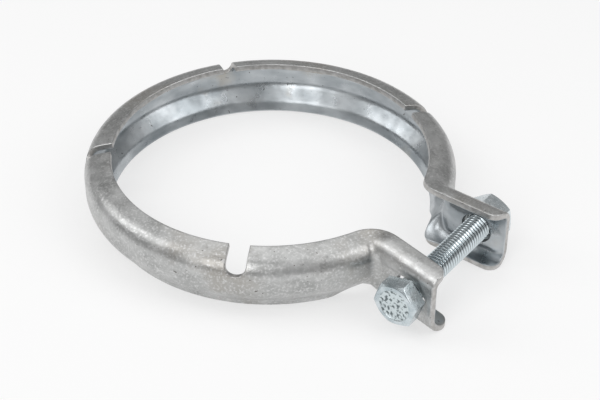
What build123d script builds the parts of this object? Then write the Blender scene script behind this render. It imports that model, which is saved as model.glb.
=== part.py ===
from build123d import *
from math import atan2, cos, degrees, radians, sin, sqrt, tan
import os

# Exhaust pipe connector: a one-piece steel clamp band of channel section, drawn
# together by one hexagon bolt and nut. Millimetres. The origin is the middle of
# the ring, +Z is the pipe's axis, the ears stand out along +X, and the bolt lies
# along Y with its head at -Y.

# Sheet and ring channel, open towards the pipe; pairs are its upper and its lower side
SHEET = 2.5
RING_RADIUS = 72.5
RING_LIP = 9.7
RING_TIPS = (11.75, 9.75)
RING_FOLD = 7.0
RING_LEAN = 12.0
FOLD_SECTIONS = 4
COLLAR_BOTTOM = 12.65

# Notches in the upper lip that let the ring bend: azimuth and width of each
NOTCHES = [(62.7, 5.5), (143.4, 5.5), (-143.4, 5.5), (-62.7, 7.6)]
NOTCH_END_HEIGHT = 4.6

# Ears: the same strip bent outwards, taller and without the collar; pairs are upper and lower
BOLT_REACH = 11.5
EAR_END = 12.0
EAR_HEIGHT = 25.8
EAR_FOLDS = (5.0, 7.0)
EAR_LEAN = 3.0
ROOT_RADIUS = 3.0
ROOT_SECTIONS = 6
LIP_CORNER = 5.0
HEAD_EAR_STAND = 30.2
HEAD_EAR_SPLAY = 13.7
HEAD_EAR_LIPS = (7.0, 9.5)
NUT_EAR_STAND = 20.5
NUT_EAR_SPLAY = -2.3
NUT_EAR_LIPS = (7.5, 7.5)

# Pressed seat around each bolt hole
SEAT_DEPTH = 1.2
SEAT_LENGTH = 17.0
SEAT_TOP = 4.6
SEAT_SHOULDER = 4.0
SEAT_LOW_TOP = 0.6
SEAT_BOTTOM = 7.2
SEAT_CORNER = 1.5

# Bolt holes
HOLE_HEIGHT = 11.0
HEAD_HOLE_LENGTH = 15.0
NUT_HOLE_LENGTH = 12.5

# Bolt and nut, M10 coarse
BOLT_RADIUS = 4.95
BOLT_LENGTH = 65.0
POINT_CHAMFER = 1.0
THREAD_PITCH = 1.5
THREAD_DEPTH = 0.75
THREAD_START = 4.0
THREAD_SIDES = 20
HEAD_ACROSS_FLATS = 16.0
HEAD_HEIGHT = 6.4
HEAD_TURN = 11.6
NUT_ACROSS_FLATS = 16.0
NUT_HEIGHT = 8.0
NUT_TURN = 25.0
NUT_MOUTH = 0.5
THREAD_CLEARANCE = 0.05
CHAMFER_ANGLE = 30.0
FACE_SHARE = 0.95
BEARING_GAP = 0.1

# How far cutting shapes run past what they cut, and how near counts as on a line
OVERRUN = 2.0
TOUCH = 0.01
BORE_RADIUS = RING_RADIUS - RING_LIP
BOLT_OFFSET = RING_RADIUS + BOLT_REACH
HEAD_TILT = HEAD_ACROSS_FLATS / sqrt(3) * tan(radians(abs(HEAD_EAR_SPLAY)))
NUT_TILT = NUT_ACROSS_FLATS / sqrt(3) * tan(radians(abs(NUT_EAR_SPLAY)))
HEAD_BEARING = HEAD_EAR_STAND + HEAD_TILT + BEARING_GAP
NUT_BEARING = NUT_EAR_STAND + NUT_TILT + BEARING_GAP


def polar(radius, azimuth):
    return Vector(radius * cos(radians(azimuth)), radius * sin(radians(azimuth)))


class EarFrame:
    """One ear on the +Y side: the straight line of its web's outer face, and its root bend."""

    def __init__(self, stand, splay, lips):
        self.splay = splay
        self.lips = lips
        self.along = polar(1, splay)
        self.outward = polar(1, splay + 90)
        self.bolt = Vector(BOLT_OFFSET, stand)
        base = self.point(0, ROOT_RADIUS)
        run = base.X * self.along.X + base.Y * self.along.Y
        reach = (RING_RADIUS + ROOT_RADIUS) ** 2 - (base.X**2 + base.Y**2 - run**2)
        self.root = base + self.along * (sqrt(reach) - run)
        self.azimuth = degrees(atan2(self.root.Y, self.root.X))
        self.turn = 90 + splay - self.azimuth

    def point(self, distance, offset):
        """Point at a distance along the ear from the bolt and an offset from its outer face."""
        return self.bolt + self.along * distance + self.outward * offset


def channel_section(share, ear_lips):
    """Channel in the XZ plane at the ring's radius: share 0 is the ring's section, 1 is the ear's.

    Its folds are drawn as short flats, which turn into plain cones round the ring.
    """

    def blend(ring, ear):
        return ring + (ear - ring) * share

    slope = tan(radians(blend(RING_LEAN, EAR_LEAN)))
    drop = SHEET * sqrt(1 + slope**2)
    inner_web = RING_RADIUS - SHEET

    def lip_points(ear_lip, ring_tip, side):
        """Lip's inner face, its edge and its outer face, from the web's inside to its outside."""
        lip = blend(RING_LIP, ear_lip)
        tip_height = blend(ring_tip, EAR_HEIGHT / 2)
        web_height = tip_height - lip * slope
        return [
            (inner_web, side * (web_height + SHEET * slope - drop)),
            (RING_RADIUS - lip, side * (tip_height - drop)),
            (RING_RADIUS - lip, side * tip_height),
            (RING_RADIUS, side * web_height),
        ]

    def corners(outline, radius):
        """Web's two corners at a radius, the upper one first."""
        return outline.vertices().filter_by(lambda v: abs(v.X - radius) < TOUCH).sort_by(Axis.Y, reverse=True)

    upper = lip_points(ear_lips[0], RING_TIPS[0], 1)
    lower = lip_points(ear_lips[1], RING_TIPS[1], -1)
    outline = Polygon(*upper, *reversed(lower), align=None)
    for place in (0, 1):
        fold = blend(RING_FOLD, EAR_FOLDS[place])
        outer_corner = corners(outline, RING_RADIUS)[-place]
        outline = fillet(outer_corner, fold)
        inner_corner = corners(outline, inner_web)[-place]
        outline = fillet(inner_corner, fold - SHEET)

    points = []
    for edge in outline.face().outer_wire().order_edges():
        steps = FOLD_SECTIONS if edge.geom_type == GeomType.CIRCLE else 1
        points += [edge @ (step / steps) for step in range(steps)]
    return Plane.XZ * Polygon(*points, align=None)


def root_bend(frame):
    """Lofted bend in which the ring's section turns outwards and becomes the ear's."""
    root_axis = Axis((frame.root.X, frame.root.Y, 0), (0, 0, 1))
    sections = []
    for step in range(ROOT_SECTIONS + 1):
        share = step / ROOT_SECTIONS
        eased = share**2 * (3 - 2 * share)
        placed = channel_section(eased, frame.lips).rotate(Axis.Z, frame.azimuth)
        sections.append(placed.rotate(root_axis, frame.turn * share))
    web_start = frame.root - frame.outward * ROOT_RADIUS
    length = (frame.point(EAR_END, 0) - web_start).length
    straight = extrude(sections[-1], length, dir=(frame.along.X, frame.along.Y, 0))
    return loft(sections) + straight


def lip_corner(frame, lip, side):
    """What the rounded end corner of one lip leaves away: side 1 is the upper lip, -1 the lower."""
    centre = frame.point(EAR_END - LIP_CORNER, LIP_CORNER - lip)
    start = frame.point(EAR_END - LIP_CORNER, -lip)
    end = frame.point(EAR_END, LIP_CORNER - lip)
    outside = [
        frame.point(EAR_END + OVERRUN, LIP_CORNER - lip),
        frame.point(EAR_END + OVERRUN, -lip - OVERRUN),
        frame.point(EAR_END - LIP_CORNER, -lip - OVERRUN),
    ]
    outline = Curve() + [CenterArc(centre, LIP_CORNER, frame.splay - 90, 90), Polyline(end, *outside, start)]
    return extrude(make_face(outline), side * EAR_HEIGHT)


def seat_outline(growth, end):
    """Pressed seat in the ear's own plane: x along the ear from the bolt, y up."""
    corners = [
        (-SEAT_LENGTH - growth, SEAT_TOP + growth),
        (SEAT_SHOULDER + growth, SEAT_TOP + growth),
        (EAR_END - SEAT_CORNER, SEAT_LOW_TOP + growth),
        (end, SEAT_LOW_TOP + growth),
        (end, -SEAT_BOTTOM - growth),
        (-SEAT_LENGTH - growth, -SEAT_BOTTOM - growth),
    ]
    outline = Polygon(*corners, align=None)
    return fillet(outline.vertices().group_by(Axis.X)[0], SEAT_CORNER + growth)


def ear(frame, hole_length):
    """One finished ear on the +Y side."""
    outer_face = Plane(frame.bolt, frame.along, -frame.outward)
    inner_face = outer_face.offset(SHEET)
    boss = extrude(inner_face * seat_outline(SHEET / 2, EAR_END), SEAT_DEPTH)
    recess = extrude(outer_face * seat_outline(0, EAR_END + OVERRUN), SEAT_DEPTH)
    hole = extrude(outer_face * SlotOverall(hole_length, HOLE_HEIGHT), SHEET + 2 * SEAT_DEPTH)
    blank = root_bend(frame)
    for lip, side in zip(frame.lips, (1, -1)):
        blank -= lip_corner(frame, lip, side)
    return blank + boss - recess - hole


def notch(azimuth, width):
    """Slot cut down through the upper lip, round at its end in the web."""
    middle = Plane(polar(BORE_RADIUS - OVERRUN, azimuth), polar(1, azimuth + 90), polar(1, azimuth))
    above = RING_TIPS[0] + OVERRUN
    slot = Pos(0, above) * SlotOverall(2 * (above - NOTCH_END_HEIGHT), width, rotation=90)
    return extrude(middle * slot, RING_LIP + 2 * OVERRUN)


def collar_section():
    """Straight collar that stands down from the lower lip, up to the middle of the lip's sheet."""
    height = COLLAR_BOTTOM - RING_TIPS[1] + SHEET / 2
    corner = (BORE_RADIUS, -COLLAR_BOTTOM)
    return Plane.XZ * Pos(*corner) * Rectangle(SHEET, height, align=Align.MIN)


def clamp_band():
    """Ring channel with its collar, both ears and the notches as one sheet."""
    nut_side = EarFrame(NUT_EAR_STAND, NUT_EAR_SPLAY, NUT_EAR_LIPS)
    head_side = EarFrame(HEAD_EAR_STAND, HEAD_EAR_SPLAY, HEAD_EAR_LIPS)
    ring_start = (channel_section(0, NUT_EAR_LIPS) + collar_section()).rotate(Axis.Z, nut_side.azimuth)
    band = revolve(ring_start, Axis.Z, 360 - nut_side.azimuth - head_side.azimuth)
    band += ear(nut_side, NUT_HOLE_LENGTH)
    band += mirror(ear(head_side, HEAD_HOLE_LENGTH), about=Plane.XZ)
    for azimuth, width in NOTCHES:
        band -= notch(azimuth, width)
    return band


def hexagon(across_flats, height, turn):
    """Hexagon bar along +Z with its corners turned by an angle."""
    outline = RegularPolygon(across_flats / 2, 6, major_radius=False, rotation=turn)
    return extrude(outline, height)


def chamfer_blank(across_flats, height, both_ends):
    """Turned blank that takes the corners off a hexagon at its far end or at both ends."""
    corner = across_flats / sqrt(3)
    face = across_flats / 2 * FACE_SHARE
    drop = (corner - face) * tan(radians(CHAMFER_ANGLE))
    low = [(face, 0), (corner, drop)] if both_ends else [(corner, 0)]
    profile = Polygon((0, 0), *low, (corner, height - drop), (face, height), (0, height), align=None)
    return revolve(Plane.XZ * profile, Axis.Z)


def thread_turns(turns):
    """Rod along -Z with flat sides, which narrows and widens again in each turn of thread."""
    rings = []
    for step in range(2 * turns + 1):
        radius = BOLT_RADIUS - THREAD_DEPTH * (step % 2)
        height = Vector(0, 0, -THREAD_START - THREAD_PITCH / 2 * step)
        rings.append([polar(radius, 360 / THREAD_SIDES * side) + height for side in range(THREAD_SIDES)])
    faces = [Face(Wire.make_polygon(rings[0])), Face(Wire.make_polygon(rings[-1]))]
    for upper, lower in zip(rings, rings[1:]):
        for side in range(THREAD_SIDES):
            corners = [upper[side - 1], upper[side], lower[side], lower[side - 1]]
            faces.append(Face(Wire.make_polygon(corners)))
    return Solid(Shell(faces))


def threaded_shank():
    """Shank along -Z, with thread turns between the ears and plain below the head and in the nut."""
    turns = int((HEAD_BEARING + NUT_EAR_STAND - SHEET - THREAD_START) / THREAD_PITCH)
    plain_start = THREAD_START + turns * THREAD_PITCH
    neck = Pos(0, 0, -THREAD_START / 2) * Cylinder(BOLT_RADIUS, THREAD_START)
    point = Pos(0, 0, -(plain_start + BOLT_LENGTH) / 2) * Cylinder(BOLT_RADIUS, BOLT_LENGTH - plain_start)
    point = chamfer(point.edges().group_by(Axis.Z)[0], POINT_CHAMFER)
    return neck + thread_turns(turns) + point


def hex_bolt():
    """Fully threaded bolt, its head's bearing face against the head ear."""
    head = hexagon(HEAD_ACROSS_FLATS, HEAD_HEIGHT, HEAD_TURN)
    head &= chamfer_blank(HEAD_ACROSS_FLATS, HEAD_HEIGHT, False)
    place = Plane((BOLT_OFFSET, -HEAD_BEARING, 0), (1, 0, 0), (0, -1, 0))
    return place * (head + threaded_shank())


def hex_nut():
    """Plain nut against the outer face of the nut ear."""
    body = hexagon(NUT_ACROSS_FLATS, NUT_HEIGHT, NUT_TURN)
    body &= chamfer_blank(NUT_ACROSS_FLATS, NUT_HEIGHT, True)
    thread = BOLT_RADIUS + THREAD_CLEARANCE
    mouth = thread + NUT_MOUTH
    bore = Polygon(
        (0, 0),
        (mouth, 0),
        (thread, NUT_MOUTH),
        (thread, NUT_HEIGHT - NUT_MOUTH),
        (mouth, NUT_HEIGHT),
        (0, NUT_HEIGHT),
        align=None,
    )
    body -= revolve(Plane.XZ * bore, Axis.Z)
    return Plane((BOLT_OFFSET, NUT_BEARING, 0), (1, 0, 0), (0, 1, 0)) * body


PIECES = {
    "clamp_band": clamp_band(),
    "hex_bolt": hex_bolt(),
    "hex_nut": hex_nut(),
}
os.makedirs("parts", exist_ok=True)
for name, piece in PIECES.items():
    export_step(piece, f"parts/{name}.step")
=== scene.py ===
import bpy
import numpy as np
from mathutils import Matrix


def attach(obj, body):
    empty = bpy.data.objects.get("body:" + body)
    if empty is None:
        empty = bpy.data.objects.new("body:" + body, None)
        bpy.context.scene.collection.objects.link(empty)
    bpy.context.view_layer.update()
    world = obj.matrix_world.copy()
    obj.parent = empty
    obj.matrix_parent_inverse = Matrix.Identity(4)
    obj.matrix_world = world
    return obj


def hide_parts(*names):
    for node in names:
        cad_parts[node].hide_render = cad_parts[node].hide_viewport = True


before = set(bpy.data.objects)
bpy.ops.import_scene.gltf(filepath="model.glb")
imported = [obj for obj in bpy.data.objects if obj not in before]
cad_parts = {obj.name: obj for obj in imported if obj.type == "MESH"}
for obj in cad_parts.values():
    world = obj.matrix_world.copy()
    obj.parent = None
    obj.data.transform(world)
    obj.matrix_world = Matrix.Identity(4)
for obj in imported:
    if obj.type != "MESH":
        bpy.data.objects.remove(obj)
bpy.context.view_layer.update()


# clamp band
# One strip of 2.5 mm steel sheet, pressed to a channel, rolled to a ring that is open
# towards the pipe, with both ends turned outwards into ears. Lengths are in millimetres
# until the mesh is made.

SHEET = 2.5
EDGE_ROUND = 0.35
RING_RADIUS = 72.5
RING = {"heights": (11.75, 13.8), "leans": (12.0, 47.0), "folds": (7.0, 7.0)}
EAR = {"heights": (12.9, 12.9), "leans": (3.0, 3.0), "folds": (5.0, 7.0)}
RING_LIP = 9.7
NUT_EAR_LIPS = (7.5, 7.5)
HEAD_EAR_LIPS = (7.0, 9.5)
CREASE_RUN = 5.5
CREASE_BEND = 1.8
CREASE_TURN = 21.0
COLLAR_RUN = 3.6
COLLAR_TAPER = 14.0
ROOT_RADIUS = 3.0
BOLT_X = 84.0
EAR_END = 12.0
LIP_CORNER = 5.0


def ear_line(stand, splay):
    """Straight line of one ear's outer face on the +Y side, from its distance to the bolt's middle and its
    lean in degrees: where the bolt crosses it, its direction, its outward normal, the root bend's centre,
    the azimuth where the ring ends and the angle that the root bend turns through."""
    lean = np.radians(splay)
    along = np.array([np.cos(lean), np.sin(lean)])
    outward = np.array([-np.sin(lean), np.cos(lean)])
    bolt = np.array([BOLT_X, stand])
    base = bolt + outward * ROOT_RADIUS
    run = base @ along
    reach = (RING_RADIUS + ROOT_RADIUS) ** 2 - (base @ base - run**2)
    root = base + along * (np.sqrt(reach) - run)
    azimuth = np.arctan2(root[1], root[0])
    web_start = (root - outward * ROOT_RADIUS - bolt) @ along
    return {"bolt": bolt, "along": along, "outward": outward, "root": root,
            "azimuth": azimuth, "turn": np.pi / 2 + lean - azimuth, "start": web_start}


nut_ear = ear_line(20.5, -2.3)
head_ear = ear_line(30.2, 13.7)

# Places along the strip, counted from the nut ear's end: straight ear, root bend, ring, root bend, straight ear.
ROOT_RUN = 16.0
NUT_ROOT = EAR_END - nut_ear["start"]
RING_START = NUT_ROOT + ROOT_RUN
RING_END = RING_START + RING_RADIUS * (2 * np.pi - nut_ear["azimuth"] - head_ear["azimuth"])
HEAD_ROOT = RING_END + ROOT_RUN
STRIP_END = HEAD_ROOT + EAR_END - head_ear["start"]


def strip_line(s):
    """Line of the web's outer face at a place s along the strip. Gives its point, the direction that points
    away from the pipe, and how far the section has changed: 0 on the ring, 1 on the nut ear, -1 on the head
    ear. Each ear is a straight line, each root an arc about its own centre, and the ring a circle."""

    def side(ear, run):
        turned = ear["turn"] * np.clip(1 + run / ROOT_RUN, 0, 1)
        share = np.clip(1 + run / ROOT_RUN, 0, 1)
        facing = ear["azimuth"] + turned
        away = np.stack([np.cos(facing), np.sin(facing)], -1)
        point = ear["root"] - away * ROOT_RADIUS + ear["along"] * np.maximum(run, 0)[..., None]
        return point, away, share**2 * (3 - 2 * share)

    nut_point, nut_away, nut_share = side(nut_ear, NUT_ROOT - s)
    head_point, head_away, head_share = side(head_ear, s - HEAD_ROOT)
    mirror = np.array([1.0, -1.0])
    azimuth = nut_ear["azimuth"] + (s - RING_START) / RING_RADIUS
    ring_away = np.stack([np.cos(azimuth), np.sin(azimuth)], -1)
    on_nut = (s < RING_START)[..., None]
    on_head = (s > RING_END)[..., None]
    point = np.where(on_nut, nut_point, np.where(on_head, head_point * mirror, ring_away * RING_RADIUS))
    away = np.where(on_nut, nut_away, np.where(on_head, head_away * mirror, ring_away))
    return point, away, np.where(s < RING_START, nut_share, np.where(s > RING_END, -head_share, 0.0))


def smooth_step(low, high, value):
    t = np.clip((value - low) / (high - low), 0, 1)
    return t * t * (3 - 2 * t)


def section(s, share, side):
    """Sizes of the channel at a place s along the strip, where it has changed by a share from the ring's form to
    the ear's, on its upper side (0) or lower side (1): half height of the flat web, fold radius and angle, the
    lip's straight run, the angle of the crease that turns back into the collar and the collar's run, all on the
    middle of the sheet, then the whole half width. Sizes go evenly from the ring's to the ear's, and the collar
    fades out before the ring ends."""
    part = np.abs(share)
    lip = RING_LIP + (np.where(share >= 0, NUT_EAR_LIPS[side], HEAD_EAR_LIPS[side]) - RING_LIP) * part
    height, lean, fold = (RING[key][side] + (EAR[key][side] - RING[key][side]) * part
                          for key in ("heights", "leans", "folds"))
    lean = np.radians(lean)
    bend = np.pi / 2 - lean
    flat = height - lip * np.tan(lean) - fold * np.tan(bend / 2)
    middle = fold - SHEET / 2
    straight = (lip - SHEET / 2 * np.cos(bend) - middle * (1 - np.cos(bend))) / np.sin(bend)
    straight = straight + (CREASE_RUN - straight) * (1 - part) * side
    collar = smooth_step(0, COLLAR_TAPER, np.minimum(s - RING_START, RING_END - s)) * side
    back = np.radians(CREASE_TURN) * collar
    run = COLLAR_RUN * collar
    return flat, middle, bend, straight, back, run, flat + middle * bend + straight + CREASE_BEND * back + run


def channel(s, w):
    """Middle of the sheet and its outward normal at a place s along the strip and w across it. Across, the
    sheet runs straight up the web, round the fold's arc, straight along the lip and, on the lower side, over
    a crease that turns it back into a short collar; w is its length from the middle of the web, positive
    upwards."""
    point, away, share = strip_line(s)
    upper = section(s, share, 0)
    lower = section(s, share, 1)
    flat, middle, bend, straight, back, _, _ = (np.where(w >= 0, high, low) for high, low in zip(upper, lower))
    beyond = np.abs(w) - flat
    angle = np.clip(beyond / middle, 0, bend)
    beyond = beyond - middle * bend
    lip = np.clip(beyond, 0, straight)
    turned = np.clip((beyond - straight) / CREASE_BEND, 0, back)
    rest = np.maximum(beyond - straight - CREASE_BEND * back, 0)
    height = (np.minimum(np.abs(w), flat) + middle * np.sin(angle) + lip * np.cos(bend)
              + CREASE_BEND * (np.sin(bend) - np.sin(bend - turned)) + rest * np.cos(bend - back))
    depth = (SHEET / 2 + middle * (1 - np.cos(angle)) + lip * np.sin(bend)
             + CREASE_BEND * (np.cos(bend - turned) - np.cos(bend)) + rest * np.sin(bend - back))
    facing = angle - turned
    sign = np.where(w >= 0, 1.0, -1.0)
    place = np.concatenate([point - away * depth[..., None], (sign * height)[..., None]], -1)
    normal = np.concatenate([away * np.cos(facing)[..., None], (sign * np.sin(facing))[..., None]], -1)
    return place, normal, depth


# Openings: four notches in the upper lip let the ring bend, and each ear has a slot for the bolt.
NOTCHES = [(62.7, 5.5), (143.4, 5.5), (216.6, 5.5), (297.3, 7.6)]
NOTCH_END = 4.65
NOTCH_SPREAD = 12.0
SLOT_HEIGHT = 11.0
NUT_SLOT = 12.5
HEAD_SLOT = 15.0
SLOT_SPREAD = 15.0
NEAR_EDGE = np.array([0.0, 0.02, 0.08, 0.18, 0.35])


def clustered(start, stop, count):
    """Places from start to stop, close together at start, as the heights of even steps round a quarter circle."""
    return start + (stop - start) * (1 - np.cos(np.linspace(0, np.pi / 2, count)))


def ear_columns(start, slot):
    """Distances from the bolt, from the ear's end inwards to its root, with columns where the lip's corner and
    the slot's round ends need them."""
    half = slot / 2
    radius = SLOT_HEIGHT / 2
    return np.concatenate([
        EAR_END - NEAR_EDGE, clustered(EAR_END, EAR_END - LIP_CORNER, 8)[2:-1],
        half + NEAR_EDGE[::-1], clustered(half, half - radius, 9)[1:], clustered(-half, radius - half, 9)[::-1],
        -half - NEAR_EDGE[1:], np.linspace(-half - 1.0, start, 16)])


def merged(values, gap):
    """Sorted values without those that are nearer than gap to the one before."""
    values = np.sort(values)
    return values[np.concatenate([[True], np.diff(values) > gap])]


notch_places = [RING_START + RING_RADIUS * (np.radians(azimuth) - nut_ear["azimuth"]) for azimuth, _ in NOTCHES]
ring_places = np.linspace(RING_START, RING_END, 208)
near = np.concatenate([-NEAR_EDGE[1:], NEAR_EDGE[1:], [-1.3, -0.75, 0.75, 1.3]])
for place in notch_places:
    ring_places = ring_places[np.abs(ring_places - place) > 1.5]
columns = merged(np.concatenate(
    [EAR_END - ear_columns(nut_ear["start"], NUT_SLOT), np.linspace(NUT_ROOT, RING_START, 34), ring_places,
     np.linspace(RING_END, HEAD_ROOT, 34), STRIP_END - EAR_END + ear_columns(head_ear["start"], HEAD_SLOT)]
    + [place + near for place in notch_places]), 0.01)
columns = np.sort(np.concatenate([columns] + [[place, place] for place in notch_places]))

# Rows across the strip at the ring's half widths; the middle one is there twice, for the two sides of a slot.
HALF_RING = 0.5 * (RING_START + RING_END)
UPPER_WIDTH, LOWER_WIDTH = (float(section(HALF_RING, np.array(0.0), side)[-1]) for side in (0, 1))
upper_rows = merged(np.concatenate([
    NEAR_EDGE, np.linspace(0.7, NOTCH_END - 0.7, 6), NOTCH_END - NEAR_EDGE,
    clustered(NOTCH_END, NOTCH_END + 2.75, 8), np.linspace(NOTCH_END + 3.3, UPPER_WIDTH - 0.9, 14),
    UPPER_WIDTH - NEAR_EDGE]), 0.015)
lower_rows = np.concatenate([NEAR_EDGE, np.linspace(0.8, LOWER_WIDTH - 0.8, 36), (LOWER_WIDTH - NEAR_EDGE)[::-1]])
rows = np.concatenate([-lower_rows[::-1], upper_rows])
middle_row = len(lower_rows)

s = np.repeat(columns[:, None], len(rows), 1)
w = np.repeat(rows[None, :], len(columns), 0)
from_nut_bolt = EAR_END - s
from_head_bolt = s - (STRIP_END - EAR_END)

# The rows are scaled to the strip's width at each place, which is less near the ears' ends where the lips'
# corners are round. The near-edge rows keep their distance from the edge.
is_upper = np.arange(len(rows))[None, :] >= middle_row
share = strip_line(s)[2]
full_width = np.where(is_upper, section(s, share, 0)[-1], section(s, share, 1)[-1])
to_end = np.minimum(s, STRIP_END - s)
trimmed = full_width - LIP_CORNER + np.sqrt(LIP_CORNER**2 - np.maximum(LIP_CORNER - to_end, 0) ** 2)
row_width = np.where(is_upper, UPPER_WIDTH, LOWER_WIDTH)
edge_gap = row_width - np.abs(w)
w = np.sign(w) * np.where(edge_gap <= NEAR_EDGE[-1] + 0.01, trimmed - edge_gap,
                          np.abs(w) * (trimmed - NEAR_EDGE[-1]) / (row_width - NEAR_EDGE[-1]))
w[:, middle_row - 1:middle_row + 1] = 0.0

# Slots: the doubled middle row opens by the slot's half height there, and the rows beyond it are pushed along.
row_sign = np.where(is_upper, 1.0, -1.0)
slot_gap = np.full(s.shape, 99.0)
opened_rows = np.zeros(s.shape, bool)
for from_bolt, length in ((from_nut_bolt, NUT_SLOT), (from_head_bolt, HEAD_SLOT)):
    radius = SLOT_HEIGHT / 2
    beyond = np.maximum(np.abs(from_bolt) - (length / 2 - radius), 0)
    opening = np.sqrt(np.maximum(radius**2 - beyond**2, 0))
    opened_rows |= opening > 1e-6
    push = opening * np.maximum(1 - np.abs(w) / SLOT_SPREAD, 0)
    w = w + row_sign * push
    slot_gap = np.minimum(slot_gap, np.hypot(beyond, w) - radius)

# Notches: a doubled column opens in the same way beyond the notch's round end.
local_radius = RING_RADIUS - channel(s, w)[2]
notch_gap = np.full(s.shape, 99.0)
opened_columns = np.zeros(s.shape, bool)
column_sign = np.ones(len(columns))
for place, (_, width) in zip(notch_places, NOTCHES):
    first = int(np.searchsorted(columns, place - 1e-9))
    column_sign[:first + 1] = -1.0
    column_sign[first + 1:] = 1.0
    radius = width / 2
    below = np.maximum(NOTCH_END + radius - w, 0)
    opening = np.sqrt(np.maximum(radius**2 - below**2, 0)) * RING_RADIUS / local_radius
    away_from = np.abs(s - place)
    push = opening * np.maximum(1 - away_from / NOTCH_SPREAD, 0)
    opened_columns |= (away_from < 1e-9) & (opening > 1e-6)
    s = s + column_sign[:, None] * push
    across = (s - place) * local_radius / RING_RADIUS
    notch_gap = np.minimum(notch_gap, np.hypot(across, below) - radius)

# Distance of every point from the nearest cut edge, with the lips' round corners.
to_end = np.minimum(s, STRIP_END - s)
to_side = full_width - np.abs(w)
corner = LIP_CORNER - np.hypot(np.maximum(LIP_CORNER - to_end, 0), np.maximum(LIP_CORNER - to_side, 0))
edge_distance = np.minimum(np.where((to_end < LIP_CORNER) & (to_side < LIP_CORNER), corner,
                                    np.minimum(to_end, to_side)), np.minimum(slot_gap, notch_gap))
edge_distance = np.clip(edge_distance, 0, EDGE_ROUND)

place, normal, _ = channel(s, w)

# Pressed seats round the slots: the sheet is pushed in by 1.2 mm inside a rounded outline on each ear.
SEAT_DEPTH = 1.2
SEAT = np.array([(-24.0, 4.6), (4.0, 4.6), (10.5, 0.6), (16.0, 0.6), (16.0, -7.2), (-24.0, -7.2)])
SEAT_CORNER = 1.5


def seat_distance(x, y):
    """Distance from the seat's outline, negative inside: the least distance to the sides of the outline shrunk
    by its corner radius, which is taken off again."""
    centre = SEAT.mean(0)
    shrunk = SEAT + np.sign(centre - SEAT) * SEAT_CORNER
    nearest = np.full(x.shape, 99.0)
    inside = np.zeros(x.shape, bool)
    for (ax, ay), (bx, by) in zip(shrunk, np.roll(shrunk, -1, 0)):
        along = np.clip(((x - ax) * (bx - ax) + (y - ay) * (by - ay)) / ((bx - ax) ** 2 + (by - ay) ** 2), 0, 1)
        nearest = np.minimum(nearest, np.hypot(x - ax - along * (bx - ax), y - ay - along * (by - ay)))
        crosses = ((ay > y) != (by > y)) & (x < (bx - ax) * (y - ay) / (by - ay + 1e-12) + ax)
        inside ^= crosses
    return np.where(inside, -nearest, nearest) - SEAT_CORNER


away = strip_line(s)[1]
for from_bolt in (EAR_END - s, s - (STRIP_END - EAR_END)):
    pressed = 1 - smooth_step(-1.2, 2.2, seat_distance(from_bolt, place[..., 2]))
    pressed = pressed * smooth_step(0.5, 5.0, EAR_END - from_bolt) * smooth_step(-19.0, -8.0, from_bolt)
    place[..., :2] -= away * (SEAT_DEPTH * pressed)[..., None]

# The two faces of the sheet lie half its thickness to each side, drawn together along the rounded edges.
half_thickness = SHEET / 2 - EDGE_ROUND + np.sqrt(EDGE_ROUND**2 - (EDGE_ROUND - edge_distance) ** 2)
outer = place + normal * half_thickness[..., None]
inner = place - normal * half_thickness[..., None]


def band_mesh():
    """Closed sheet from its outer and inner faces. Doubled rows and columns are one where nothing is open, and
    the edges that only one quad uses get a strip that joins the two faces."""
    count = s.size
    index = np.arange(count).reshape(s.shape)
    index[:, middle_row] = np.where(opened_rows[:, middle_row], index[:, middle_row], index[:, middle_row - 1])
    for place_s in notch_places:
        first = int(np.searchsorted(columns, place_s - 1e-9))
        index[first + 1] = np.where(opened_columns[first], index[first + 1], index[first])
    quads = np.stack([index[:-1, :-1], index[1:, :-1], index[1:, 1:], index[:-1, 1:]], -1).reshape(-1, 4)
    doubled = np.zeros((s.shape[0] - 1, s.shape[1] - 1), bool)
    doubled[:, middle_row - 1] = True
    for place_s in notch_places:
        doubled[int(np.searchsorted(columns, place_s - 1e-9))] = True
    quads = quads[~doubled.reshape(-1)]
    start = quads.reshape(-1)
    stop = np.roll(quads, -1, 1).reshape(-1)
    border = ~np.isin(start * count + stop, stop * count + start)
    border &= start != stop
    a, b = start[border], stop[border]
    rim = np.stack([b, a, a + count, b + count], -1)
    faces = np.concatenate([quads, quads[:, ::-1] + count, rim])
    vertices = np.concatenate([outer.reshape(-1, 3), inner.reshape(-1, 3)]) * 0.001
    used, faces = np.unique(faces, return_inverse=True)
    material = np.repeat(np.array([0, 1, 2], np.int32), [len(quads), len(quads), len(rim)])
    return vertices[used], faces.reshape(-1, 4), material


def new_piece(name, vertices, faces):
    """Smoothly shaded mesh object at the origin from vertices in metres and quads."""
    mesh = bpy.data.meshes.new(name)
    mesh.from_pydata(vertices.tolist(), [], faces.tolist())
    mesh.shade_smooth()
    mesh.update()
    piece = bpy.data.objects.new(name, mesh)
    bpy.context.scene.collection.objects.link(piece)
    return piece


vertices, faces, face_material = band_mesh()
band = new_piece("band", vertices, faces)
band.data.polygons.foreach_set("material_index", face_material)


def metal(name, colour, roughness):
    """Metal with a plain Principled shader. Gives the material, its node tree and its shader."""
    material = bpy.data.materials.new(name)
    material.use_nodes = True
    tree = material.node_tree
    shader = tree.nodes["Principled BSDF"]
    shader.inputs["Base Color"].default_value = (*colour, 1)
    shader.inputs["Metallic"].default_value = 1.0
    shader.inputs["Roughness"].default_value = roughness
    return material, tree, shader


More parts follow.
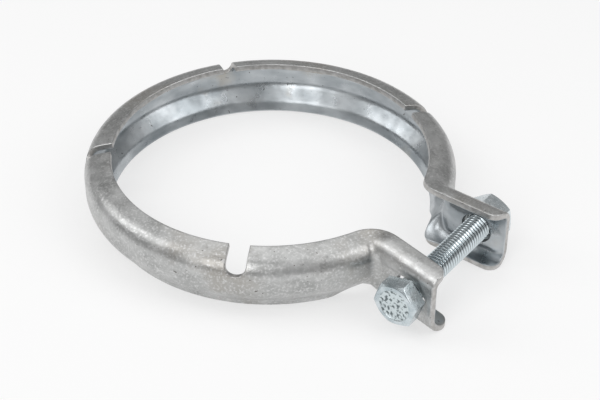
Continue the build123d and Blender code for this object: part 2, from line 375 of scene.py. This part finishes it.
def noise(tree, scale, detail, stretch=(1, 1, 1), roughness=0.5):
    """Noise over the piece's own coordinates, in cells per metre, stretched by a Mapping node."""
    where = tree.nodes.new("ShaderNodeTexCoord")
    mapping = tree.nodes.new("ShaderNodeMapping")
    mapping.inputs["Scale"].default_value = stretch
    texture = tree.nodes.new("ShaderNodeTexNoise")
    texture.inputs["Scale"].default_value = scale
    texture.inputs["Detail"].default_value = detail
    texture.inputs["Roughness"].default_value = roughness
    tree.links.new(where.outputs["Object"], mapping.inputs["Vector"])
    tree.links.new(mapping.outputs["Vector"], texture.inputs["Vector"])
    return texture.outputs["Fac"]


def ramp(tree, factor, low, high, start=0.3, stop=0.7):
    """Colour ramp from one colour to another over a share of the factor."""
    node = tree.nodes.new("ShaderNodeValToRGB")
    node.color_ramp.elements[0].position = start
    node.color_ramp.elements[1].position = stop
    node.color_ramp.elements[0].color = (*low, 1)
    node.color_ramp.elements[1].color = (*high, 1)
    tree.links.new(factor, node.inputs["Fac"])
    return node.outputs["Color"]


def spread(tree, factor, low, high):
    """Number that runs from low to high as the factor goes from 0.3 to 0.7."""
    node = tree.nodes.new("ShaderNodeMapRange")
    node.inputs["From Min"].default_value = 0.3
    node.inputs["From Max"].default_value = 0.7
    node.inputs["To Min"].default_value = low
    node.inputs["To Max"].default_value = high
    tree.links.new(factor, node.inputs["Value"])
    return node.outputs["Result"]


def bump(tree, shader, layers):
    """Chain of Bump nodes from (height, distance in metres) layers into the shader's normal."""
    previous = None
    for height, distance in layers:
        node = tree.nodes.new("ShaderNodeBump")
        node.inputs["Strength"].default_value = 1.0
        node.inputs["Distance"].default_value = distance
        tree.links.new(height, node.inputs["Height"])
        if previous:
            tree.links.new(previous, node.inputs["Normal"])
        previous = node.outputs["Normal"]
    tree.links.new(previous, shader.inputs["Normal"])


def mixed(tree, factor, first, second):
    """Colour socket that goes from the first colour to the second as the factor goes from 0 to 1."""
    node = tree.nodes.new("ShaderNodeMix")
    node.data_type = "RGBA"
    tree.links.new(factor, node.inputs["Factor"])
    for socket, value in ((node.inputs["A"], first), (node.inputs["B"], second)):
        if isinstance(value, tuple):
            socket.default_value = (*value, 1)
        else:
            tree.links.new(value, socket)
    return node.outputs["Result"]


def step(tree, factor, low, high):
    """Number that runs from 0 to 1 as the factor goes from low to high."""
    node = tree.nodes.new("ShaderNodeMapRange")
    node.interpolation_type = "SMOOTHSTEP"
    node.inputs["From Min"].default_value = low
    node.inputs["From Max"].default_value = high
    tree.links.new(factor, node.inputs["Value"])
    return node.outputs["Result"]


# Rolled steel, dull outside: soft patches, a thin brownish film, dark pits, faint lines round the ring, grain.
band_steel, tree, shader = metal("band_steel", (0.5, 0.5, 0.49), 0.4)
patches = ramp(tree, noise(tree, 85, 6, (1, 1, 1.6), 0.65), (0.37, 0.375, 0.37), (0.6, 0.605, 0.6), 0.34, 0.66)
film = mixed(tree, step(tree, noise(tree, 40, 5), 0.5, 0.75), patches, (0.42, 0.405, 0.38))
grain = mixed(tree, step(tree, noise(tree, 1100, 3), 0.45, 0.75), film, (0.66, 0.66, 0.66))
pits = mixed(tree, step(tree, noise(tree, 900, 2), 0.7, 0.76), grain, (0.14, 0.13, 0.12))
tree.links.new(pits, shader.inputs["Base Color"])
tree.links.new(spread(tree, noise(tree, 170, 6, roughness=0.6), 0.28, 0.5), shader.inputs["Roughness"])
bump(tree, shader, [(noise(tree, 240, 5), 0.00016), (noise(tree, 1400, 3), 0.00005),
                    (noise(tree, 200, 3, (0.1, 0.1, 12)), 0.000015)])

# The inside of the channel is smoother. Its colour is a darker, bluish copy of the band steel: painted shade and a
# painted bluish reflection inside the channel. Its brownish stains and dark pits are the steel's own.
inner_steel_painted_shade, tree, shader = metal("inner_steel_painted_shade", (0.45, 0.48, 0.5), 0.3)
# Darker, bluish patches: painted shade and painted reflection inside the channel.
patches = ramp(tree, noise(tree, 60, 5, (1, 1, 2)), (0.33, 0.36, 0.38), (0.56, 0.59, 0.61), 0.35, 0.65)
stained = mixed(tree, step(tree, noise(tree, 45, 4), 0.58, 0.76), patches, (0.44, 0.41, 0.36))
tree.links.new(mixed(tree, step(tree, noise(tree, 600, 2), 0.7, 0.76), stained, (0.12, 0.12, 0.12)),
               shader.inputs["Base Color"])
tree.links.new(spread(tree, noise(tree, 170, 5), 0.24, 0.42), shader.inputs["Roughness"])
bump(tree, shader, [(noise(tree, 160, 5), 0.00014), (noise(tree, 1400, 2), 0.00002)])

# Cut edges show sheared steel, duller than the faces.
cut_steel, tree, shader = metal("cut_steel", (0.5, 0.5, 0.48), 0.42)
tree.links.new(ramp(tree, noise(tree, 500, 3, (1, 1, 1)), (0.4, 0.39, 0.375), (0.62, 0.61, 0.6)),
               shader.inputs["Base Color"])
bump(tree, shader, [(noise(tree, 900, 3, (1, 1, 0.4)), 0.00006)])
for steel in (band_steel, inner_steel_painted_shade, cut_steel):
    band.data.materials.append(steel)
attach(band, "band")
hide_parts("clamp_band")


# hexagon bolt
# M10 bolt of zinc-plated steel, cold headed with a dished top and threaded up to its head.
# It lies across both ears, with its head against the head ear.

TURN_STEPS = 96
PITCH = 1.5
CREST = 4.95
BOLT_LENGTH = 65.0
HEAD_ANGLE = 11.6
HEAD_HEIGHT = 6.4
FLATS = 16.0
HEAD_BEARING = 30.2 + FLATS / np.sqrt(3) * np.tan(np.radians(13.7)) + 0.1

turn = np.linspace(0, 2 * np.pi, TURN_STEPS, endpoint=False)


def hexagon_radius(angle, flats):
    """Distance from the middle to the side of a hexagon with slightly rounded corners: the half width across
    flats over the high-power mean of the cosines to its six sides."""
    to_sides = angle[:, None] - np.radians(30 + 60 * np.arange(6))[None, :]
    power = 240
    return flats / 2 / (np.maximum(np.cos(to_sides), 0) ** power).sum(1) ** (1 / power)


def thread_radius(angle, height):
    """Radius of the threaded rod at an angle and a height: flanks of 60 degrees between a flat crest and a
    round root, in a helix that climbs one pitch each turn, running out at both ends."""
    phase = np.mod(height / PITCH - angle / (2 * np.pi), 1.0)
    from_crest = np.abs(phase - 0.5) * PITCH
    drop = 1.732 * np.maximum(from_crest - PITCH / 14, 0)
    deepest = 0.86
    drop = deepest * np.tanh((drop / deepest) ** 1.5) ** (1 / 1.5)
    fade = smooth_step(0.3, 2.2, height) * smooth_step(-0.4, 0.9, BOLT_LENGTH - height)
    radius = CREST - drop * fade
    return np.minimum(radius, CREST - 1.1 + np.maximum(BOLT_LENGTH - height, 0))


def lathe(rows_of, place_of):
    """Closed surface from rows of (radius, height) arrays round an axis, with a point at each end: quads between
    the rows and triangles to the two points, as vertices in metres and faces."""
    radius, height = (np.array(x, float) for x in zip(*rows_of[1:-1]))
    points = place_of(radius * np.cos(turn), radius * np.sin(turn), height).reshape(-1, 3)
    ends = [place_of(np.array(0.0), np.array(0.0), np.array(rows_of[k][1])) for k in (0, -1)]
    index = np.arange(radius.size).reshape(radius.shape)
    after = np.roll(index, -1, 1)
    quads = np.stack([index[:-1], after[:-1], after[1:], index[1:]], -1).reshape(-1, 4).tolist()
    first, last = radius.size, radius.size + 1
    caps = np.stack([np.full(TURN_STEPS, first), after[0], index[0]], -1).tolist()
    caps += np.stack([np.full(TURN_STEPS, last), index[-1], after[-1]], -1).tolist()
    return np.concatenate([points, np.array(ends)]) * 0.001, quads + caps


def new_turned(name, vertices, faces):
    """Smoothly shaded object from a lathe's mesh of quads and triangles."""
    mesh = bpy.data.meshes.new(name)
    mesh.from_pydata(vertices.tolist(), [], faces)
    mesh.shade_smooth()
    mesh.set_sharp_from_angle(angle=0.45)
    mesh.update()
    piece = bpy.data.objects.new(name, mesh)
    bpy.context.scene.collection.objects.link(piece)
    return piece


def hexagon_rows(flats, height, dish):
    """Rows up a hexagon with its corners turned off by a cone of 30 degrees at the top, from the middle of its
    side to the middle of its dished face."""
    side = hexagon_radius(turn, flats)
    face = flats / 2 * 0.95
    shoulder = height - (side - face) * np.tan(np.radians(30))
    full = np.ones(TURN_STEPS)
    cone = [(side + (face - side) * t, shoulder + (height - shoulder) * t) for t in (0.04, 0.35, 0.7, 0.95)]
    return ([(side, shoulder * 0.5), (side, shoulder - 0.3), (side * 0.999, shoulder - 0.05)] + cone
            + [(full * (face - 0.12), full * height), (full * (face - 1.25), full * height),
               (full * (face - 1.4), full * (height - dish * 0.3)), (full * (face - 1.6), full * (height - dish)),
               (full * face * 0.5, full * (height - dish)), (full * face * 0.1, full * (height - dish))])


full = np.ones(TURN_STEPS)
heights = np.linspace(-BOLT_LENGTH + 0.001, -0.6, int((BOLT_LENGTH - 0.6) / PITCH * 12))
rows_of = [(0.0, -BOLT_LENGTH)]
rows_of += [(full * r, full * -BOLT_LENGTH) for r in (1.5, 3.0, 3.6)]
rows_of += [(thread_radius(turn, -full * height), full * height) for height in heights]
rows_of += [(full * (CREST + grow), full * height) for grow, height in ((0.0, -0.45), (0.1, -0.2), (0.35, -0.02))]
side = hexagon_radius(turn, FLATS)
rows_of += [(side * 0.8, full * 0.0), (side - 0.3, full * 0.0), (side - 0.08, full * 0.06), (side, full * 0.3)]
head_rows = hexagon_rows(FLATS, HEAD_HEIGHT, 0.3)
rows_of += head_rows + [(0.0, HEAD_HEIGHT - 0.3)]


def at_head(x, z, height):
    """Turns lathe coordinates so that the axis runs along -Y from the head's bearing face."""
    lean = np.radians(HEAD_ANGLE)
    return np.stack([BOLT_X + x * np.cos(lean) - z * np.sin(lean), -HEAD_BEARING - height,
                     x * np.sin(lean) + z * np.cos(lean)], -1)


bolt_points, bolt_faces = lathe(rows_of, at_head)
bolt = new_turned("bolt", bolt_points, bolt_faces)
row_count = len(rows_of) - 2
face_row = np.repeat(np.arange(row_count + 1), TURN_STEPS)
face_row[-2 * TURN_STEPS:-TURN_STEPS] = 0
on_thread = face_row < row_count - len(head_rows) - 4
on_dish = face_row >= row_count - 4
bolt.data.polygons.foreach_set("material_index", (on_thread + 2 * on_dish).astype(np.int32))

# Bright zinc: a cool grey that is a little uneven, with small dirty spots.
zinc, tree, shader = metal("bolt_zinc", (0.56, 0.63, 0.66), 0.25)
patches = ramp(tree, noise(tree, 230, 5), (0.46, 0.53, 0.56), (0.68, 0.74, 0.77), 0.35, 0.65)
tree.links.new(mixed(tree, step(tree, noise(tree, 800, 3), 0.64, 0.76), patches, (0.2, 0.22, 0.22)),
               shader.inputs["Base Color"])
tree.links.new(spread(tree, noise(tree, 700, 4), 0.18, 0.34), shader.inputs["Roughness"])
bump(tree, shader, [(noise(tree, 500, 4), 0.00005), (noise(tree, 2200, 2), 0.00001)])

# The head's dished top is struck rough: shallow worn relief with dirt in its hollows.
struck_zinc, tree, shader = metal("struck_zinc", (0.5, 0.57, 0.6), 0.35)
relief = noise(tree, 800, 2, roughness=0.4)
tree.links.new(mixed(tree, step(tree, relief, 0.36, 0.52), (0.16, 0.19, 0.2), (0.66, 0.73, 0.75)),
               shader.inputs["Base Color"])
bump(tree, shader, [(relief, 0.0005), (noise(tree, 1800, 3), 0.00008)])

# On the thread the colour goes by the distance from the axis: the crests are painted bright as a highlight and the
# grooves between them are painted dark as shade.
thread_zinc_painted_light, tree, shader = metal("thread_zinc_painted_light", (0.6, 0.66, 0.7), 0.2)
where = tree.nodes.new("ShaderNodeTexCoord")
from_axis = tree.nodes.new("ShaderNodeMapping")
from_axis.inputs["Location"].default_value = (-0.084, 0, 0)
from_axis.inputs["Scale"].default_value = (1, 0, 1)
radius = tree.nodes.new("ShaderNodeVectorMath")
radius.operation = "LENGTH"
tree.links.new(where.outputs["Object"], from_axis.inputs["Vector"])
tree.links.new(from_axis.outputs["Vector"], radius.inputs[0])
# Painted shade in the grooves and a painted highlight on the crests, switched by the radius.
tree.links.new(mixed(tree, step(tree, radius.outputs["Value"], 0.0042, 0.0048), (0.14, 0.165, 0.18), (0.7, 0.77, 0.8)),
               shader.inputs["Base Color"])
for finish in (zinc, thread_zinc_painted_light, struck_zinc):
    bolt.data.materials.append(finish)
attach(bolt, "bolt")
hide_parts("hex_bolt")


# hexagon nut
# Plain M10 nut of zinc-plated steel with both ends chamfered, screwed up to the nut ear.

NUT_HEIGHT = 8.0
NUT_ANGLE = 25.0
NUT_BEARING = 20.5 + FLATS / np.sqrt(3) * np.tan(np.radians(2.3)) + 0.1
NUT_BORE = 5.0


def nut_mesh():
    """Closed ring: up the outside of the hexagon, over the chamfered face, down the bore and back."""
    side = hexagon_radius(turn, FLATS)
    face = FLATS / 2 * 0.95
    drop = (side - face) * np.tan(np.radians(30))
    half = NUT_HEIGHT / 2
    top = [(side, half - drop - 0.25), (side * 0.999, half - drop - 0.04)]
    top += [(side + (face - side) * t, half - drop + drop * t) for t in (0.05, 0.5, 0.95)]
    top += [(full * (face - 0.12), full * half), (full * (NUT_BORE + 0.62), full * half),
            (full * (NUT_BORE + 0.5), full * (half - 0.04)), (full * NUT_BORE, full * (half - 0.55))]
    loop = [(side, full * 0.0)] + top + [(full * NUT_BORE, full * 0.0)] + [(r, -h) for r, h in top[::-1]]
    radius, height = (np.array(x, float) for x in zip(*loop))
    lean = np.radians(-NUT_ANGLE)
    x, z = radius * np.cos(turn + lean), radius * np.sin(turn + lean)
    points = np.stack([BOLT_X + x, NUT_BEARING + half - height, z], -1).reshape(-1, 3) * 0.001
    index = np.arange(radius.size).reshape(radius.shape)
    up, after = np.roll(index, -1, 0), np.roll(index, -1, 1)
    return points, np.stack([index, after, np.roll(up, -1, 1), up], -1).reshape(-1, 4)


nut_points, nut_faces = nut_mesh()
nut = new_turned("nut", nut_points, nut_faces.tolist())
nut_zinc, tree, shader = metal("nut_zinc", (0.7, 0.76, 0.79), 0.24)
tree.links.new(ramp(tree, noise(tree, 420, 4), (0.64, 0.7, 0.73), (0.76, 0.81, 0.83)), shader.inputs["Base Color"])
tree.links.new(spread(tree, noise(tree, 800, 4), 0.2, 0.34), shader.inputs["Roughness"])
bump(tree, shader, [(noise(tree, 1400, 3), 0.00004)])
nut.data.materials.append(nut_zinc)
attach(nut, "nut")
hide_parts("hex_nut")


# studio
# White floor that the ears and the ring's far side stand on, soft light from above, and a white surround.

floor = bpy.data.meshes.new("floor")
FAR = 3.0
corners = [(x, y, -0.01291) for x, y in ((-FAR, -FAR), (FAR, -FAR), (FAR, FAR), (-FAR, FAR))]
floor.from_pydata(corners, [], [(0, 1, 2, 3)])
floor_object = bpy.data.objects.new("floor", floor)
bpy.context.scene.collection.objects.link(floor_object)
floor_paint = bpy.data.materials.new("floor_paint")
floor_paint.use_nodes = True
floor_shader = floor_paint.node_tree.nodes["Principled BSDF"]
floor_shader.inputs["Base Color"].default_value = (0.94, 0.94, 0.94, 1)
floor_shader.inputs["Roughness"].default_value = 0.9
floor_nodes, floor_links = floor_paint.node_tree.nodes, floor_paint.node_tree.links
seen = floor_nodes.new("ShaderNodeLightPath")
whiteness = None
for ray in ("Is Camera Ray", "Is Glossy Ray", "Is Transmission Ray"):
    either = floor_nodes.new("ShaderNodeMath")
    either.operation = "MAXIMUM"
    either.inputs[0].default_value = 0
    if whiteness:
        floor_links.new(whiteness, either.inputs[0])
    floor_links.new(seen.outputs[ray], either.inputs[1])
    whiteness = either.outputs[0]
share_node = floor_nodes.new("ShaderNodeMath")
share_node.operation = "MULTIPLY"
share_node.inputs[1].default_value = 0.6
floor_links.new(whiteness, share_node.inputs[0])
white = floor_nodes.new("ShaderNodeEmission")
white.inputs["Strength"].default_value = 1.0
blend = floor_nodes.new("ShaderNodeMixShader")
floor_links.new(share_node.outputs[0], blend.inputs[0])
floor_links.new(floor_shader.outputs[0], blend.inputs[1])
floor_links.new(white.outputs[0], blend.inputs[2])
floor_links.new(blend.outputs[0], floor_nodes["Material Output"].inputs["Surface"])
floor.materials.append(floor_paint)


def area_light(name, place, target, size, watts, colour=(1, 1, 1)):
    """Square soft light at a place, facing a target."""
    from mathutils import Vector
    light = bpy.data.lights.new(name, "AREA")
    light.shape = "RECTANGLE"
    light.size, light.size_y = size
    light.energy = watts
    light.color = colour
    lamp = bpy.data.objects.new(name, light)
    lamp.location = place
    lamp.rotation_euler = (Vector(target) - Vector(place)).to_track_quat("-Z", "Y").to_euler()
    bpy.context.scene.collection.objects.link(lamp)
    return lamp


def softbox(name, turned, height, size, watts):
    """Soft light 0.95 m away, turned to the right of the camera by an angle, at a height in degrees."""
    bearing, rise = np.radians(turned - 53.5), np.radians(height)
    place = 0.95 * np.array([np.cos(bearing) * np.cos(rise), np.sin(bearing) * np.cos(rise), np.sin(rise)])
    return area_light(name, place.tolist(), (0, 0, 0), size, watts)


softbox("left_of_camera", -26, 40, (0.45, 0.7), 2.4)
softbox("right", 72, 42, (0.6, 0.7), 2.6)
softbox("left", -98, 42, (0.5, 0.6), 2.0)
area_light("overhead", (-0.15, 0.2, 0.95), (0, 0, 0), (0.9, 0.9), 2.3)

world = bpy.data.worlds.new("surround")
world.use_nodes = True
bpy.context.scene.world = world
world.node_tree.nodes["Background"].inputs["Color"].default_value = (1, 1, 1, 1)
world.node_tree.nodes["Background"].inputs["Strength"].default_value = 0.32
bpy.context.scene.view_settings.view_transform = "Standard"


# camera
# Looks down at 36.3 degrees from the head's side, from 0.59 m.

from mathutils import Matrix, Vector

AZIMUTH, ELEVATION = np.radians(36.5), np.radians(36.3)
DISTANCE = 0.58798
back = Vector((np.sin(AZIMUTH) * np.cos(ELEVATION), -np.cos(AZIMUTH) * np.cos(ELEVATION), np.sin(ELEVATION)))
right = Vector((np.cos(AZIMUTH), np.sin(AZIMUTH), 0))
up = back.cross(right)
lens = bpy.data.cameras.new("camera")
lens.sensor_width = 36
lens.lens = 36 * 1493 / 600
lens.clip_start = 0.01
camera = bpy.data.objects.new("camera", lens)
aim = right * (29.4 / 1493 * DISTANCE) - up * (27.9 / 1493 * DISTANCE)
camera.matrix_world = Matrix.Translation(aim + back * DISTANCE) @ Matrix((right, up, back)).transposed().to_4x4()
bpy.context.scene.collection.objects.link(camera)
bpy.context.scene.camera = camera
